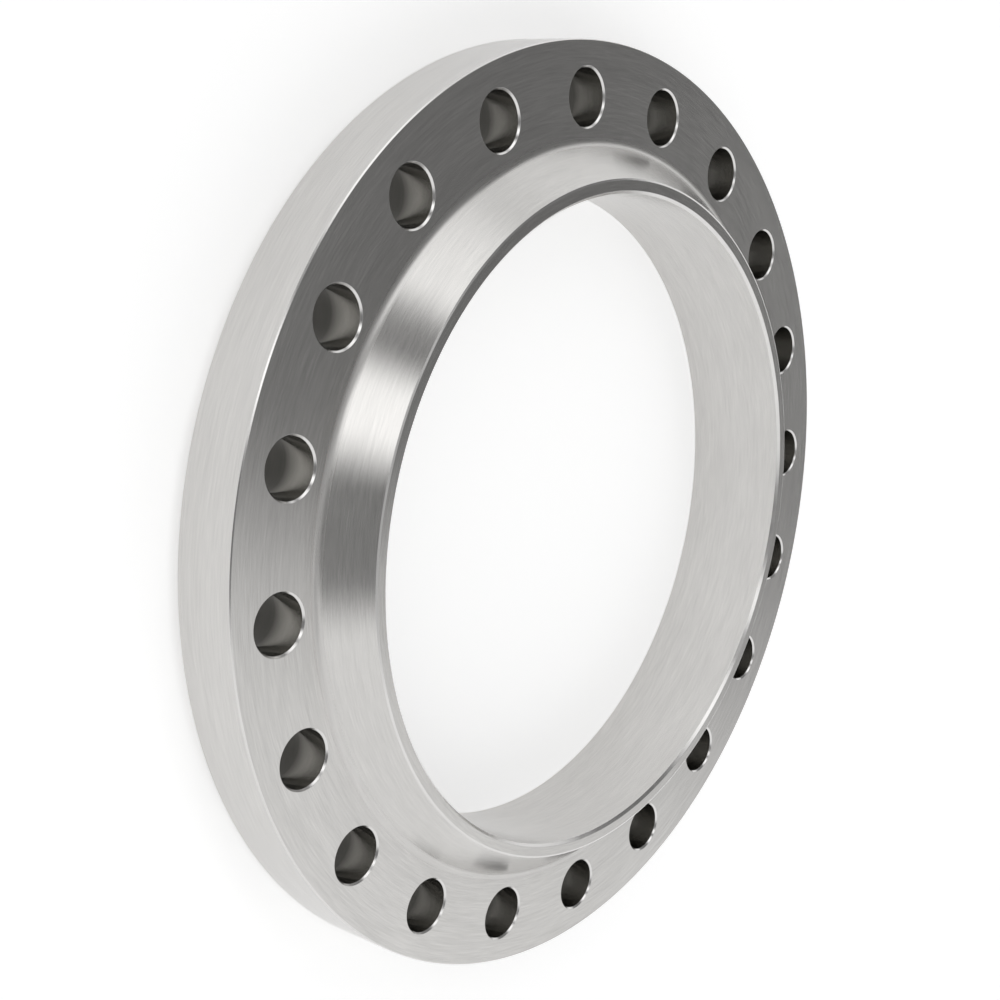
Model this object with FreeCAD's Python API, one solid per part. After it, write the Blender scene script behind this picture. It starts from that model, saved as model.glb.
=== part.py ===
"""Weld-neck pipe flange, turned from one piece of stainless steel.

The flange lies on its raised face. Z is the bore's axis and runs towards the
neck's end. All sizes are in millimetres.
"""
import FreeCAD, Part
import math
import os

# The pipe that is welded to the neck
PIPE_OUTSIDE_DIA = 609.6
PIPE_WALL = 12.0

# The tapered neck, as wide at its end as the pipe
NECK_HEIGHT = 36.0
NECK_FLARE = 28.0
NECK_FILLET_RADIUS = 9.0
NECK_EDGE_BREAK = 1.0
NECK_MOUTH_CHAMFER = 2.5

# The bolt holes
HOLE_COUNT = 20
HOLE_DIA = 48.0
HOLE_CHAMFER = 1.5

# Steel left beside each hole, towards the neck, the rim and the raised face
NECK_TO_HOLE = 13.2
HOLE_TO_RIM = 22.5
RAISED_FACE_TO_HOLE = 7.0

# The ring that carries the bolts
RING_THICKNESS = 58.0
RIM_CHAMFER = 1.0

# The raised face that bears on the gasket
RAISED_FACE_HEIGHT = 10.0
RAISED_FACE_CHAMFER = 1.0
FACE_MOUTH_CHAMFER = 1.0

# Cutting shapes run this far past the faces that they open
OVERRUN = 2.0

# Levels along the axis
RING_FRONT_Z = RAISED_FACE_HEIGHT
RING_BACK_Z = RING_FRONT_Z + RING_THICKNESS
NECK_END_Z = RING_BACK_Z + NECK_HEIGHT

# Radii, from the pipe outwards
NECK_END_R = PIPE_OUTSIDE_DIA / 2
BORE_R = NECK_END_R - PIPE_WALL
NECK_BASE_R = NECK_END_R + NECK_FLARE
HOLE_R = HOLE_DIA / 2
BOLT_CIRCLE_R = NECK_BASE_R + NECK_TO_HOLE + HOLE_R
OUTSIDE_R = BOLT_CIRCLE_R + HOLE_R + HOLE_TO_RIM
RAISED_FACE_R = BOLT_CIRCLE_R - HOLE_R - RAISED_FACE_TO_HOLE

# The taper leans in from the axis direction by this angle
TAPER_ANGLE = math.atan2(NECK_FLARE, NECK_HEIGHT)


def at(radius, level):
    """A point of a profile, in the plane through the axis."""
    return FreeCAD.Vector(radius, 0, level)


def turned(edges):
    """The solid that a closed run of edges makes when it turns about Z."""
    face = Part.Face(Part.Wire(edges))
    return face.revolve(FreeCAD.Vector(0, 0, 0), FreeCAD.Vector(0, 0, 1), 360)


def straight_edges(points):
    """The straight edges that join the points in order."""
    return [Part.makeLine(start, end) for start, end in zip(points, points[1:])]


def neck_fillet():
    """The arc between the ring's back face and the taper, and its two ends."""
    turn = math.pi / 2 - TAPER_ANGLE
    reach = NECK_FILLET_RADIUS * math.tan(turn / 2)
    corner = at(NECK_BASE_R, RING_BACK_Z)
    on_face = at(NECK_BASE_R + reach, RING_BACK_Z)
    on_taper = at(NECK_BASE_R - reach * math.sin(TAPER_ANGLE), RING_BACK_Z + reach * math.cos(TAPER_ANGLE))
    centre = at(NECK_BASE_R + reach, RING_BACK_Z + NECK_FILLET_RADIUS)
    to_corner = corner.sub(centre).normalize()
    middle = centre.add(to_corner.multiply(NECK_FILLET_RADIUS))
    return Part.Arc(on_face, middle, on_taper).toShape(), on_face, on_taper


def body():
    """The turned body: raised face, ring, neck and bore in one profile."""
    arc, on_face, on_taper = neck_fillet()
    break_r = NECK_END_R + NECK_EDGE_BREAK * math.sin(TAPER_ANGLE)
    break_z = NECK_END_Z - NECK_EDGE_BREAK * math.cos(TAPER_ANGLE)
    outside = [
        at(BORE_R, FACE_MOUTH_CHAMFER),
        at(BORE_R + FACE_MOUTH_CHAMFER, 0),
        at(RAISED_FACE_R - RAISED_FACE_CHAMFER, 0),
        at(RAISED_FACE_R, RAISED_FACE_CHAMFER),
        at(RAISED_FACE_R, RING_FRONT_Z),
        at(OUTSIDE_R - RIM_CHAMFER, RING_FRONT_Z),
        at(OUTSIDE_R, RING_FRONT_Z + RIM_CHAMFER),
        at(OUTSIDE_R, RING_BACK_Z - RIM_CHAMFER),
        at(OUTSIDE_R - RIM_CHAMFER, RING_BACK_Z),
        on_face,
    ]
    inside = [
        on_taper,
        at(break_r, break_z),
        at(NECK_END_R - NECK_EDGE_BREAK, NECK_END_Z),
        at(BORE_R + NECK_MOUTH_CHAMFER, NECK_END_Z),
        at(BORE_R, NECK_END_Z - NECK_MOUTH_CHAMFER),
        at(BORE_R, FACE_MOUTH_CHAMFER),
    ]
    return turned(straight_edges(outside) + [arc] + straight_edges(inside))


def hole_cutter():
    """The space of one bolt hole, flared at both faces for its chamfers."""
    flare_r = HOLE_R + HOLE_CHAMFER + OVERRUN
    bottom = RING_FRONT_Z - OVERRUN
    top = RING_BACK_Z + OVERRUN
    outline = [
        at(0, bottom),
        at(flare_r, bottom),
        at(HOLE_R, RING_FRONT_Z + HOLE_CHAMFER),
        at(HOLE_R, RING_BACK_Z - HOLE_CHAMFER),
        at(flare_r, top),
        at(0, top),
        at(0, bottom),
    ]
    return turned(straight_edges(outline))


def bolt_holes():
    """All the hole spaces, spread evenly round the bolt circle."""
    pitch = 360.0 / HOLE_COUNT
    spaces = []
    for number in range(HOLE_COUNT):
        angle = math.radians(pitch * (number + 0.5))
        space = hole_cutter()
        space.translate(FreeCAD.Vector(BOLT_CIRCLE_R * math.cos(angle), BOLT_CIRCLE_R * math.sin(angle), 0))
        spaces.append(space)
    return spaces


def flange():
    """The finished flange as one solid."""
    shape = body().cut(Part.makeCompound(bolt_holes()))
    return shape.Solids[0]


def main():
    """Write the one part of the object."""
    os.makedirs("parts", exist_ok=True)
    flange().exportStep("parts/flange.step")


main()
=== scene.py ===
import math

import bpy
from mathutils import Matrix, Vector


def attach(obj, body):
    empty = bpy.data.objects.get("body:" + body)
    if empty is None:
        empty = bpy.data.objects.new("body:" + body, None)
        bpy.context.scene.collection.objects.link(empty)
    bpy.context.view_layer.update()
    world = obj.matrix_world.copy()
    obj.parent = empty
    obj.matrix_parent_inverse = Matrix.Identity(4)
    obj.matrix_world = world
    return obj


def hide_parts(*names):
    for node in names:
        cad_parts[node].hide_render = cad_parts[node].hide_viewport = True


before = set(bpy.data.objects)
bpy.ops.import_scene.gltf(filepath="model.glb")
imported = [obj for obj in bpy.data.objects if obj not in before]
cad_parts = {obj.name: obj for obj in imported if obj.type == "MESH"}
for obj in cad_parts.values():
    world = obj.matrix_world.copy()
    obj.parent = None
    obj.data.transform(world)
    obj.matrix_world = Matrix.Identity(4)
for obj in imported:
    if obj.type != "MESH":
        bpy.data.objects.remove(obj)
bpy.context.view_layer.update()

# Sizes of the flange, in millimetres
NECK_END_R = 304.8
BORE_R = 292.8
NECK_BASE_R = 332.8
NECK_HEIGHT = 36.0
NECK_FILLET_RADIUS = 9.0
NECK_EDGE_BREAK = 1.0
NECK_MOUTH_CHAMFER = 2.5
HOLE_COUNT = 20
HOLE_R = 24.0
HOLE_CHAMFER = 1.5
BOLT_CIRCLE_R = 370.0
OUTSIDE_R = 416.5
RIM_CHAMFER = 1.0
RAISED_FACE_R = 339.0
RAISED_FACE_HEIGHT = 10.0
RAISED_FACE_CHAMFER = 1.0
FACE_MOUTH_CHAMFER = 1.0
RING_BACK_Z = 68.0
NECK_END_Z = 104.0

# Every machined edge is broken by a tiny radius, so that it catches the light
EDGE_ROUND = 0.3
EDGE_STEPS = 2

# How finely the turned surfaces are divided
SECTOR_STEPS = 26
SIDE_STEPS = 8
FACE_RINGS = 5
FILLET_STEPS = 10
HOLE_LIP = 0.8

# The depth over which a drilled wall's colour darkens with painted shade
PAINTED_SHADE_DEPTH = 32.0

# Corners that turn by less than this angle, in radians, stay as they are
LEAST_TURN = 0.02

# Points that agree to this many decimals of a metre are one point
POINT_DIGITS = 7

MM = 0.001
FULL_TURN = 2 * math.pi
PITCH = FULL_TURN / HOLE_COUNT

# The numbers of the machined finishes
SIDE, FACE, EDGE, HOLE, GASKET, FILLET = range(6)


def unit(x, y):
    """The direction of a run in the plane of the profile."""
    length = math.hypot(x, y)
    return x / length, y / length


def rounded_run(corners, radius, steps):
    """Turns corners (r, z, finish) into short segments with exact normals.

    Each corner except the first and the last gets a small arc. The finish
    belongs to the straight that starts at the corner. A segment is
    (point, normal, point, normal, finish).
    """
    segments = []
    last_point = None
    for i in range(len(corners) - 1):
        here, there = corners[i], corners[i + 1]
        d = unit(there[0] - here[0], there[1] - here[1])
        normal = (d[1], -d[0])
        end = (there[0], there[1])
        start = last_point or (here[0], here[1])
        arc = []
        if i < len(corners) - 2:
            after = corners[i + 2]
            e = unit(after[0] - there[0], after[1] - there[1])
            cross = d[0] * e[1] - d[1] * e[0]
            dot = max(-1.0, min(1.0, d[0] * e[0] + d[1] * e[1]))
            turn = math.atan2(cross, dot)
            if abs(turn) > LEAST_TURN:
                reach = radius * math.tan(abs(turn) / 2)
                end = (there[0] - d[0] * reach, there[1] - d[1] * reach)
                side = 1 if turn > 0 else -1
                centre = (end[0] - d[1] * radius * side, end[1] + d[0] * radius * side)
                for k in range(steps + 1):
                    a = turn * k / steps
                    n = (normal[0] * math.cos(a) - normal[1] * math.sin(a),
                         normal[0] * math.sin(a) + normal[1] * math.cos(a))
                    p = (centre[0] + n[0] * radius * side, centre[1] + n[1] * radius * side)
                    arc.append((p, n))
        segments.append((start, normal, end, normal, here[2]))
        for (p, n), (q, m) in zip(arc, arc[1:]):
            segments.append((p, n, q, m, EDGE))
        last_point = arc[-1][0] if arc else end
    return segments


class Mesh:
    """Collects faces with exact corner normals, UVs and a finish each."""

    def __init__(self):
        self.index = {}
        self.points = []
        self.faces = []
        self.normals = []
        self.uvs = []
        self.finishes = []

    def point(self, p):
        key = tuple(round(value, POINT_DIGITS) for value in p)
        if key not in self.index:
            self.index[key] = len(self.points)
            self.points.append(p)
        return self.index[key]

    def quad(self, corners, normals, uvs, finish):
        """One face; it is turned over if it winds against its normals."""
        a, b, c = (Vector(corners[k]) for k in (0, 1, 2))
        d = Vector(corners[3])
        facing = (c - a).cross(d - b)
        if facing.dot(Vector(normals[0]) + Vector(normals[2])) < 0:
            corners, normals, uvs = corners[::-1], normals[::-1], uvs[::-1]
        ids = [self.point(p) for p in corners]
        if len(set(ids)) < 4:
            return
        self.faces.append(ids)
        self.normals.extend(normals)
        self.uvs.extend(uvs)
        self.finishes.append(finish)

    def turned_strip(self, segment, angles, centre=(0.0, 0.0)):
        """The strip that a profile segment sweeps over the given angles."""
        (r0, z0), n0, (r1, z1), n1, finish = segment
        for a, b in zip(angles, angles[1:]):
            corners, normals, uvs = [], [], []
            first, second = (r0, z0, n0), (r1, z1, n1)
            for angle, (r, z, n) in ((a, first), (b, first), (b, second), (a, second)):
                c, s = math.cos(angle), math.sin(angle)
                corners.append(((centre[0] + r * c) * MM, (centre[1] + r * s) * MM, z * MM))
                normals.append((n[0] * c, n[0] * s, n[1]))
                uvs.append((angle, (r - z) * MM))
            self.quad(corners, normals, uvs, finish)

    def build(self, name, materials):
        mesh = bpy.data.meshes.new(name)
        mesh.from_pydata(self.points, [], self.faces)
        for m in materials:
            mesh.materials.append(m)
        mesh.polygons.foreach_set("material_index", self.finishes)
        mesh.polygons.foreach_set("use_smooth", [True] * len(self.faces))
        layer = mesh.uv_layers.new(name="lay")
        layer.data.foreach_set("uv", [v for uv in self.uvs for v in uv])
        mesh.update()
        mesh.normals_split_custom_set(self.normals)
        obj = bpy.data.objects.new(name, mesh)
        bpy.context.scene.collection.objects.link(obj)
        return obj


def flange_profile():
    """The closed section as segments, and the two rows that hold the holes."""
    taper = math.atan2(NECK_BASE_R - NECK_END_R, NECK_HEIGHT)
    turn = math.pi / 2 - taper
    reach = NECK_FILLET_RADIUS * math.tan(turn / 2)
    face_end = (NECK_BASE_R + reach, RING_BACK_Z)
    lean, rise = math.sin(taper), math.cos(taper)
    taper_start = (NECK_BASE_R - reach * lean, RING_BACK_Z + reach * rise)
    break_at = (NECK_END_R + NECK_EDGE_BREAK * lean, NECK_END_Z - NECK_EDGE_BREAK * rise)
    lower = rounded_run([
        (BORE_R, RING_BACK_Z / 2, SIDE),
        (BORE_R, FACE_MOUTH_CHAMFER, EDGE),
        (BORE_R + FACE_MOUTH_CHAMFER, 0, GASKET),
        (RAISED_FACE_R - RAISED_FACE_CHAMFER, 0, EDGE),
        (RAISED_FACE_R, RAISED_FACE_CHAMFER, SIDE),
        (RAISED_FACE_R, RAISED_FACE_HEIGHT, FACE),
        (OUTSIDE_R - RIM_CHAMFER, RAISED_FACE_HEIGHT, EDGE),
        (OUTSIDE_R, RAISED_FACE_HEIGHT + RIM_CHAMFER, SIDE),
        (OUTSIDE_R, RING_BACK_Z - RIM_CHAMFER, EDGE),
        (OUTSIDE_R - RIM_CHAMFER, RING_BACK_Z, FACE),
        (*face_end, FACE),
    ], EDGE_ROUND, EDGE_STEPS)
    centre = (face_end[0], RING_BACK_Z + NECK_FILLET_RADIUS)
    fillet = []
    for k in range(FILLET_STEPS + 1):
        a = -math.pi / 2 - turn * k / FILLET_STEPS
        n = (-math.cos(a), -math.sin(a))
        p = (centre[0] - n[0] * NECK_FILLET_RADIUS, centre[1] - n[1] * NECK_FILLET_RADIUS)
        fillet.append((p, n))
    curve = [(p, n, q, m, FILLET) for (p, n), (q, m) in zip(fillet, fillet[1:])]
    upper = rounded_run([
        (*taper_start, SIDE),
        (*break_at, EDGE),
        (NECK_END_R - NECK_EDGE_BREAK, NECK_END_Z, FACE),
        (BORE_R + NECK_MOUTH_CHAMFER, NECK_END_Z, EDGE),
        (BORE_R, NECK_END_Z - NECK_MOUTH_CHAMFER, SIDE),
        (BORE_R, RING_BACK_Z / 2, SIDE),
    ], EDGE_ROUND, EDGE_STEPS)
    rows = [s for s in lower if s[4] == FACE]
    plain = [s for s in lower if s[4] != FACE] + curve + upper
    return plain, rows


def sector_edge(inner_r, outer_r, middle):
    """Points round one sector of a ring face, as (radius, angle) in order."""
    half = PITCH / 2
    steps = [middle - half + PITCH * k / SECTOR_STEPS for k in range(SECTOR_STEPS + 1)]
    radii = [inner_r + (outer_r - inner_r) * k / SIDE_STEPS for k in range(1, SIDE_STEPS)]
    edge = [(inner_r, a) for a in steps]
    edge += [(r, steps[-1]) for r in radii]
    edge += [(outer_r, a) for a in reversed(steps)]
    edge += [(r, steps[0]) for r in reversed(radii)]
    return edge


def drilled_row(mesh, segment, number):
    """One sector of a flat ring face round its bolt hole.

    Returns the angles at which the face meets the hole's lip.
    """
    (r0, z), n, (r1, _), _, finish = segment
    middle = PITCH * (number + 0.5)
    centre = (BOLT_CIRCLE_R * math.cos(middle), BOLT_CIRCLE_R * math.sin(middle))
    lip = HOLE_R + HOLE_CHAMFER + HOLE_LIP
    edge = sector_edge(min(r0, r1), max(r0, r1), middle)
    normal = (0.0, 0.0, n[1])
    spokes, angles = [], []
    for r, a in edge:
        x, y = r * math.cos(a), r * math.sin(a)
        direction = math.atan2(y - centre[1], x - centre[0])
        hx, hy = centre[0] + lip * math.cos(direction), centre[1] + lip * math.sin(direction)
        angles.append(direction)
        spokes.append([(hx + (x - hx) * k / FACE_RINGS, hy + (y - hy) * k / FACE_RINGS)
                       for k in range(FACE_RINGS + 1)])
    count = len(spokes)
    for i in range(count):
        here, there = spokes[i], spokes[(i + 1) % count]
        for k in range(FACE_RINGS):
            flat = (here[k], there[k], there[k + 1], here[k + 1])
            corners = [(x * MM, y * MM, z * MM) for x, y in flat]
            uvs = [(math.atan2(y, x), (math.hypot(x, y) - z) * MM) for x, y in flat]
            mesh.quad(corners, [normal] * 4, uvs, finish)
    return centre, angles


def hole_wall(mesh, centre, angles):
    """The lips, chamfers and drilled wall of one bolt hole."""
    lip = HOLE_R + HOLE_CHAMFER + HOLE_LIP
    run = rounded_run([
        (lip, RING_BACK_Z, FACE),
        (HOLE_R + HOLE_CHAMFER, RING_BACK_Z, EDGE),
        (HOLE_R, RING_BACK_Z - HOLE_CHAMFER, HOLE),
        (HOLE_R, RAISED_FACE_HEIGHT + HOLE_CHAMFER, EDGE),
        (HOLE_R + HOLE_CHAMFER, RAISED_FACE_HEIGHT, FACE),
        (lip, RAISED_FACE_HEIGHT, FACE),
    ], EDGE_ROUND, EDGE_STEPS)
    angles = sorted(a % FULL_TURN for a in angles)
    angles.append(angles[0] + FULL_TURN)
    for segment in run:
        mesh.turned_strip(segment, angles, centre)


def turned_flange(materials):
    """The whole flange as one finely divided mesh."""
    mesh = Mesh()
    plain, rows = flange_profile()
    round_steps = HOLE_COUNT * SECTOR_STEPS
    angles = [FULL_TURN * k / round_steps for k in range(round_steps + 1)]
    for segment in plain:
        mesh.turned_strip(segment, angles)
    for number in range(HOLE_COUNT):
        for row in rows:
            centre, directions = drilled_row(mesh, row, number)
            if row[2][1] == RING_BACK_Z:
                wall_directions = directions
        hole_wall(mesh, centre, wall_directions)
    return mesh.build("flange_turned", materials)


class Nodes:
    """Short calls for building a node tree."""

    def __init__(self, tree):
        self.tree = tree
        tree.nodes.clear()

    def add(self, kind, **settings):
        node = self.tree.nodes.new(kind)
        for key, value in settings.items():
            setattr(node, key, value)
        return node

    def join(self, source, target):
        self.tree.links.new(source, target)

    def feed(self, node, values):
        """Sets the node's sockets to numbers, or joins them to other nodes."""
        for socket, value in zip(node.inputs, values):
            if isinstance(value, (int, float)):
                socket.default_value = value
            else:
                self.join(value, socket)
        return node.outputs[0]

    def math(self, operation, *values):
        return self.feed(self.add("ShaderNodeMath", operation=operation), values)

    def weighted(self, first, *rest):
        """The sum of the products of some pairs."""
        value = self.math("MULTIPLY", *first)
        return self.math("ADD", value, self.weighted(*rest)) if rest else value

    def vector(self, x, y, z):
        return self.feed(self.add("ShaderNodeCombineXYZ"), (x, y, z))

    def noise(self, vector, scale=1.0, detail=2.0):
        node = self.add("ShaderNodeTexNoise")
        node.inputs["Scale"].default_value = scale
        node.inputs["Detail"].default_value = detail
        self.join(vector, node.inputs["Vector"])
        return node.outputs[0]

    def span(self, value, low, high, start=0.0, end=1.0):
        node = self.add("ShaderNodeMapRange")
        node.inputs["From Min"].default_value = start
        node.inputs["From Max"].default_value = end
        node.inputs["To Min"].default_value = low
        node.inputs["To Max"].default_value = high
        self.join(value, node.inputs["Value"])
        return node.outputs[0]


def new_surface(name):
    """An empty material with one shader, and its nodes."""
    material = bpy.data.materials.new(name)
    material.use_nodes = True
    nodes = Nodes(material.node_tree)
    out = nodes.add("ShaderNodeOutputMaterial")
    shader = nodes.add("ShaderNodeBsdfPrincipled")
    nodes.join(shader.outputs[0], out.inputs["Surface"])
    return material, nodes, shader


def turned_place(nodes):
    """Direction round the main axis, and the distance along the profile."""
    where = nodes.add("ShaderNodeTexCoord").outputs["Object"]
    parts = nodes.add("ShaderNodeSeparateXYZ")
    nodes.join(where, parts.inputs[0])
    x, y, z = parts.outputs
    r = nodes.math("SQRT", nodes.weighted((x, x), (y, y)))
    along = nodes.math("SUBTRACT", r, z)
    return nodes.math("DIVIDE", x, r), nodes.math("DIVIDE", y, r), along, where


def drilled_place(nodes):
    """Direction round a hole's own axis, and the depth along its wall."""
    uv = nodes.add("ShaderNodeUVMap", uv_map="lay").outputs[0]
    parts = nodes.add("ShaderNodeSeparateXYZ")
    nodes.join(uv, parts.inputs[0])
    angle, along = parts.outputs[0], parts.outputs[1]
    where = nodes.add("ShaderNodeTexCoord").outputs["Object"]
    return nodes.math("COSINE", angle), nodes.math("SINE", angle), along, where


STEEL_COLOUR = (0.62, 0.61, 0.595)

# The direction of the gloss is a quarter turn from the tangent
GLOSS_TURN = 0.25

# Noise from one of these values to the other spans the whole of a range
NOISE_LOW = 0.3
NOISE_HIGH = 0.7

# The marks are of three kinds. These are shares of a finish's own stretch and
# width. A larger stretch makes the marks shorter, and a larger width wider.
FINE_STRETCH = 2.2
MIDDLE_WIDTH = 4.0
BROAD_STRETCH = 0.35
BROAD_WIDTH = 22.0
FINE_DETAIL = 3.0
CLOUD_SCALE = 9.0
CLOUD_DETAIL = 3.0

# The marks' height, in metres, and a turned groove's height as a share of it
RELIEF_HEIGHT = 0.00006
GROOVE_SHARE = 1.2


def steel(name, drilled=False, colour=STEEL_COLOUR, rough=(0.15, 0.20), anisotropic=1.0,
          stretch=9.0, width=0.0006, bump=0.12, contrast=0.10, rings=0.0, painted_depth_shade=1.0):
    """Bare stainless steel with cutting marks that run round the axis."""
    material, nodes, shader = new_surface(name)
    shader.inputs["Metallic"].default_value = 1.0
    shader.inputs["Anisotropic"].default_value = anisotropic
    shader.inputs["Anisotropic Rotation"].default_value = GLOSS_TURN

    cos, sin, along, where = (drilled_place if drilled else turned_place)(nodes)

    def marks(around, size, detail=2.0):
        place = nodes.vector(nodes.math("MULTIPLY", cos, around),
                             nodes.math("MULTIPLY", sin, around),
                             nodes.math("MULTIPLY", along, 1.0 / size))
        return nodes.noise(place, detail=detail)

    fine = marks(stretch * FINE_STRETCH, width, FINE_DETAIL)
    middle = marks(stretch, width * MIDDLE_WIDTH)
    broad = marks(stretch * BROAD_STRETCH, width * BROAD_WIDTH)
    cloud = nodes.noise(where, scale=CLOUD_SCALE, detail=CLOUD_DETAIL)

    mixed = nodes.weighted((fine, 0.5), (middle, 0.3), (broad, 0.2))
    shade = nodes.span(mixed, 1.0 - contrast, 1.0 + contrast, NOISE_LOW, NOISE_HIGH)
    # Painted shade: below the hole's mouth the base colour darkens with depth, down to the given
    # share at the shade depth, for the shade deep inside a drilled hole
    if painted_depth_shade < 1.0:
        mouth = HOLE_R - RING_BACK_Z
        depth = nodes.span(along, 1.0, painted_depth_shade, mouth * MM, (mouth + PAINTED_SHADE_DEPTH) * MM)
        shade = nodes.math("MULTIPLY", shade, depth)
    tint = nodes.add("ShaderNodeVectorMath", operation="SCALE")
    tint.inputs[0].default_value = colour
    nodes.join(shade, tint.inputs["Scale"])
    nodes.join(tint.outputs[0], shader.inputs["Base Color"])

    patchy = nodes.weighted((fine, 0.6), (cloud, 0.4))
    nodes.join(nodes.span(patchy, *rough, NOISE_LOW, NOISE_HIGH), shader.inputs["Roughness"])

    height = nodes.weighted((fine, 0.6), (middle, 0.4))
    if rings:
        groove = nodes.math("SINE", nodes.math("MULTIPLY", along, FULL_TURN / rings))
        height = nodes.math("ADD", height, nodes.math("MULTIPLY", groove, GROOVE_SHARE))
    relief = nodes.add("ShaderNodeBump")
    relief.inputs["Strength"].default_value = bump
    relief.inputs["Distance"].default_value = RELIEF_HEIGHT
    nodes.join(height, relief.inputs["Height"])
    nodes.join(relief.outputs[0], shader.inputs["Normal"])

    tangent = nodes.add("ShaderNodeTangent")
    if drilled:
        tangent.direction_type = "UV_MAP"
        tangent.uv_map = "lay"
    else:
        tangent.direction_type = "RADIAL"
        tangent.axis = "Z"
    nodes.join(tangent.outputs[0], shader.inputs["Tangent"])
    return material


def finishes():
    """The six machined finishes, in the order of their numbers."""
    return [
        steel("turned_side"),
        steel("turned_face", contrast=0.14),
        # The broken edges' colour is paler than the turned steel round them, a painted highlight
        # along each edge
        steel("broken_edge", colour=(0.72, 0.71, 0.70), rough=(0.16, 0.26), anisotropic=0.5,
              bump=0.1, contrast=0.06),
        # The drilled wall's colour carries painted shade, which darkens it with depth
        steel("drilled_wall_painted_shade", drilled=True, colour=(0.70, 0.68, 0.63), rough=(0.14, 0.20),
              anisotropic=0.9, stretch=1.6, width=0.0003, bump=0.18, contrast=0.14, painted_depth_shade=0.14),
        steel("gasket_face", colour=(0.58, 0.57, 0.555), rough=(0.28, 0.42), contrast=0.1,
              bump=0.6, rings=0.0008),
        steel("neck_fillet", rough=(0.26, 0.32), anisotropic=0.8),
    ]


# Soft panels stand round the walls of a dim room. Each has the compass angles
# where it starts and ends, in degrees, and its brightness.
PANELS = [
    (-10, 30, 1.4),
    (45, 75, 1.6),
    (120, 255, 1.0),
]
PANEL_FADE = 20
WALL_LEVEL = 0.2

# The walls turn into the ceiling between these two sines of the elevation
CEILING_LEVEL = 0.5
CEILING_START = 0.85
CEILING_FULL = 0.95

# The compass angle at which the row of panels starts, between two of them
SEAM = -60


def grey(level):
    """One level of white, as a colour."""
    return level, level, level, 1


def panel_row(nodes, angle):
    """The brightness of the room's walls by compass angle from the seam."""
    ramp = nodes.add("ShaderNodeValToRGB")
    ramp.color_ramp.interpolation = "EASE"
    elements = ramp.color_ramp.elements
    for element in elements:
        element.color = grey(WALL_LEVEL)
    half = PANEL_FADE / 2
    for start, end, level in PANELS:
        stops = ((start - half, WALL_LEVEL), (start + half, level),
                 (end - half, level), (end + half, WALL_LEVEL))
        for degrees, tone in stops:
            elements.new((degrees - SEAM) / 360).color = grey(tone)
    nodes.join(angle, ramp.inputs[0])
    return ramp.outputs[0]


def studio():
    """A dim room with soft panels round its walls and a soft ceiling."""
    world = bpy.data.worlds.new("studio")
    world.use_nodes = True
    bpy.context.scene.world = world
    nodes = Nodes(world.node_tree)
    out = nodes.add("ShaderNodeOutputWorld")
    light = nodes.add("ShaderNodeBackground")
    nodes.join(light.outputs[0], out.inputs["Surface"])
    parts = nodes.add("ShaderNodeSeparateXYZ")
    nodes.join(nodes.add("ShaderNodeTexCoord").outputs["Generated"], parts.inputs[0])
    x, y, z = parts.outputs
    turn = nodes.math("SUBTRACT", nodes.math("ARCTAN2", y, x), math.radians(SEAM))
    angle = nodes.math("FRACT", nodes.math("DIVIDE", turn, FULL_TURN))
    walls = panel_row(nodes, angle)
    mix = nodes.add("ShaderNodeMix", data_type="RGBA")
    nodes.join(nodes.span(z, 0.0, 1.0, CEILING_START, CEILING_FULL), mix.inputs["Factor"])
    nodes.join(walls, mix.inputs["A"])
    mix.inputs["B"].default_value = grey(CEILING_LEVEL)
    nodes.join(mix.outputs["Result"], light.inputs["Color"])


# The floor's own colour, and the white that it shows on top of the light it gets
FLOOR_SHADE = 0.93
FLOOR_LIFT = 0.39

# The backdrop shows plain white, and gives no light and no shadow of its own
BACKDROP_SHADE = 0.0
BACKDROP_LIFT = 1.0

STAGE_ROUGHNESS = 0.9
STAGE_RADIUS = 7.0
BACKDROP_HEIGHT = 2.5
STAGE_SIDES = 96


def stage_material(name, shade, lift):
    """A matt surface, lifted by a set amount where it or its mirror image is seen."""
    material, nodes, shader = new_surface(name)
    shader.inputs["Base Color"].default_value = grey(shade)
    shader.inputs["Roughness"].default_value = STAGE_ROUGHNESS
    shader.inputs["Specular IOR Level"].default_value = 0.0
    shader.inputs["Emission Color"].default_value = grey(1)
    path = nodes.add("ShaderNodeLightPath").outputs
    seen = nodes.math("ADD", path["Is Camera Ray"], path["Is Glossy Ray"])
    seen = nodes.math("ADD", seen, path["Is Transmission Ray"])
    nodes.join(nodes.math("MULTIPLY", seen, lift), shader.inputs["Emission Strength"])
    return material


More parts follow.
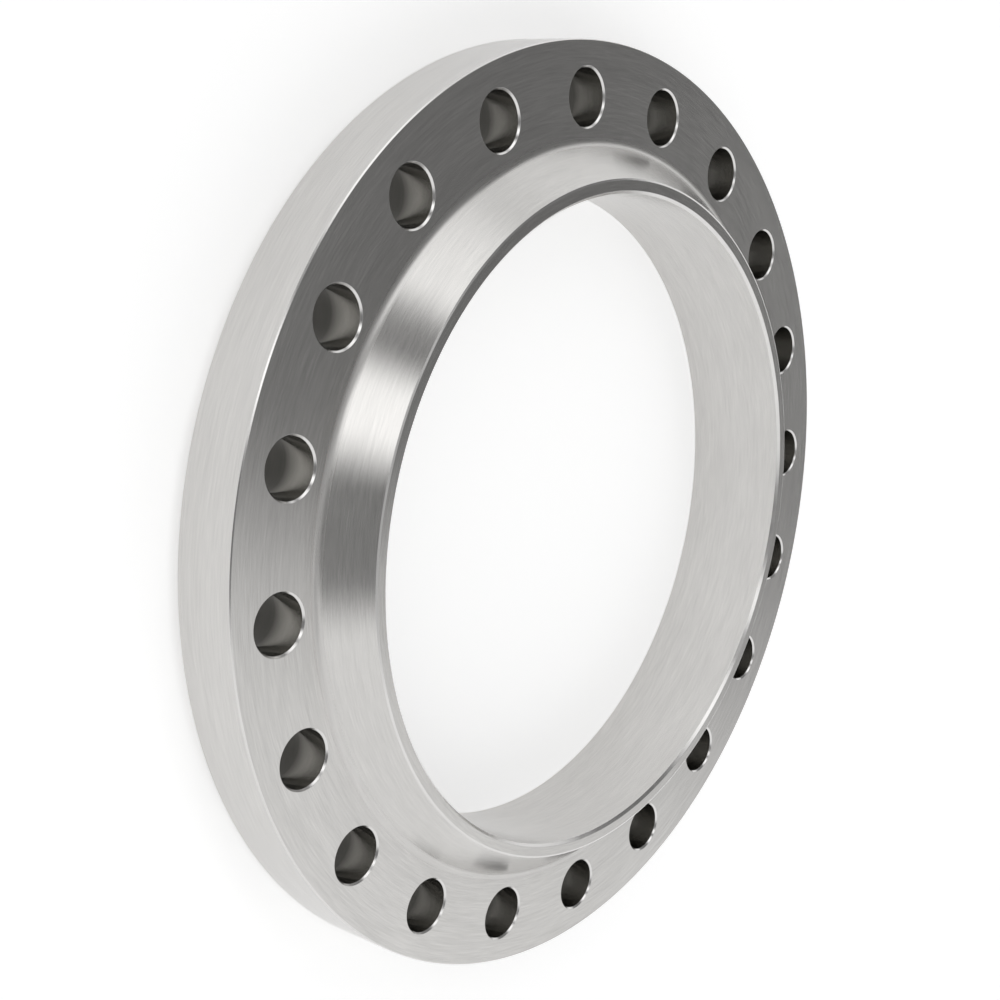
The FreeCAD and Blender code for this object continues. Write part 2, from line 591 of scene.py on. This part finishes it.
def stage_object(name, points, faces, material):
    """A part of the stage, which the steel mirrors as it does the room."""
    mesh = bpy.data.meshes.new(name)
    mesh.from_pydata(points, [], faces)
    mesh.materials.append(material)
    obj = bpy.data.objects.new(name, mesh)
    bpy.context.scene.collection.objects.link(obj)
    return obj


def stage():
    """A round pale floor under the raised face, and a white backdrop round it."""
    turns = [FULL_TURN * side / STAGE_SIDES for side in range(STAGE_SIDES)]
    edge = [(STAGE_RADIUS * math.cos(turn), STAGE_RADIUS * math.sin(turn), 0.0) for turn in turns]
    pale = stage_material("floor", FLOOR_SHADE, FLOOR_LIFT)
    stage_object("floor", edge, [tuple(range(STAGE_SIDES))], pale)
    top = [(x, y, BACKDROP_HEIGHT) for x, y, _ in edge]
    walls = []
    for side in range(STAGE_SIDES):
        after = (side + 1) % STAGE_SIDES
        walls.append((side, after, after + STAGE_SIDES, side + STAGE_SIDES))
    white = stage_material("backdrop", BACKDROP_SHADE, BACKDROP_LIFT)
    backdrop = stage_object("backdrop", edge + top, walls, white)
    backdrop.visible_diffuse = False
    backdrop.visible_shadow = False


# The camera's lens and frame, its place in metres, and its own three axes
SENSOR_WIDTH = 36.0
LENS_LENGTH = 56.458
LENS_SHIFT = (-0.06, 0.10)
VIEW_REACH = 100.0
CAMERA_PLACE = (0.20171, 1.15536, 0.89523)
CAMERA_RIGHT = (0.104281, -0.602072, 0.791603)
CAMERA_UP = (0.976125, -0.090530, -0.197443)
CAMERA_BACK = (0.190539, 0.793293, 0.578257)


def camera():
    """The photo's view of the flange, turned into the flange's own frame."""
    data = bpy.data.cameras.new("camera")
    data.sensor_width = SENSOR_WIDTH
    data.lens = LENS_LENGTH
    data.shift_x, data.shift_y = LENS_SHIFT
    data.clip_end = VIEW_REACH
    obj = bpy.data.objects.new("camera", data)
    bpy.context.scene.collection.objects.link(obj)
    turn = Matrix((CAMERA_RIGHT, CAMERA_UP, CAMERA_BACK)).transposed().to_4x4()
    obj.matrix_world = Matrix.Translation(CAMERA_PLACE) @ turn
    bpy.context.scene.camera = obj


bpy.context.scene.view_settings.view_transform = "Standard"

flange = turned_flange(finishes())
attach(flange, "root")
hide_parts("flange")
stage()
studio()
camera()
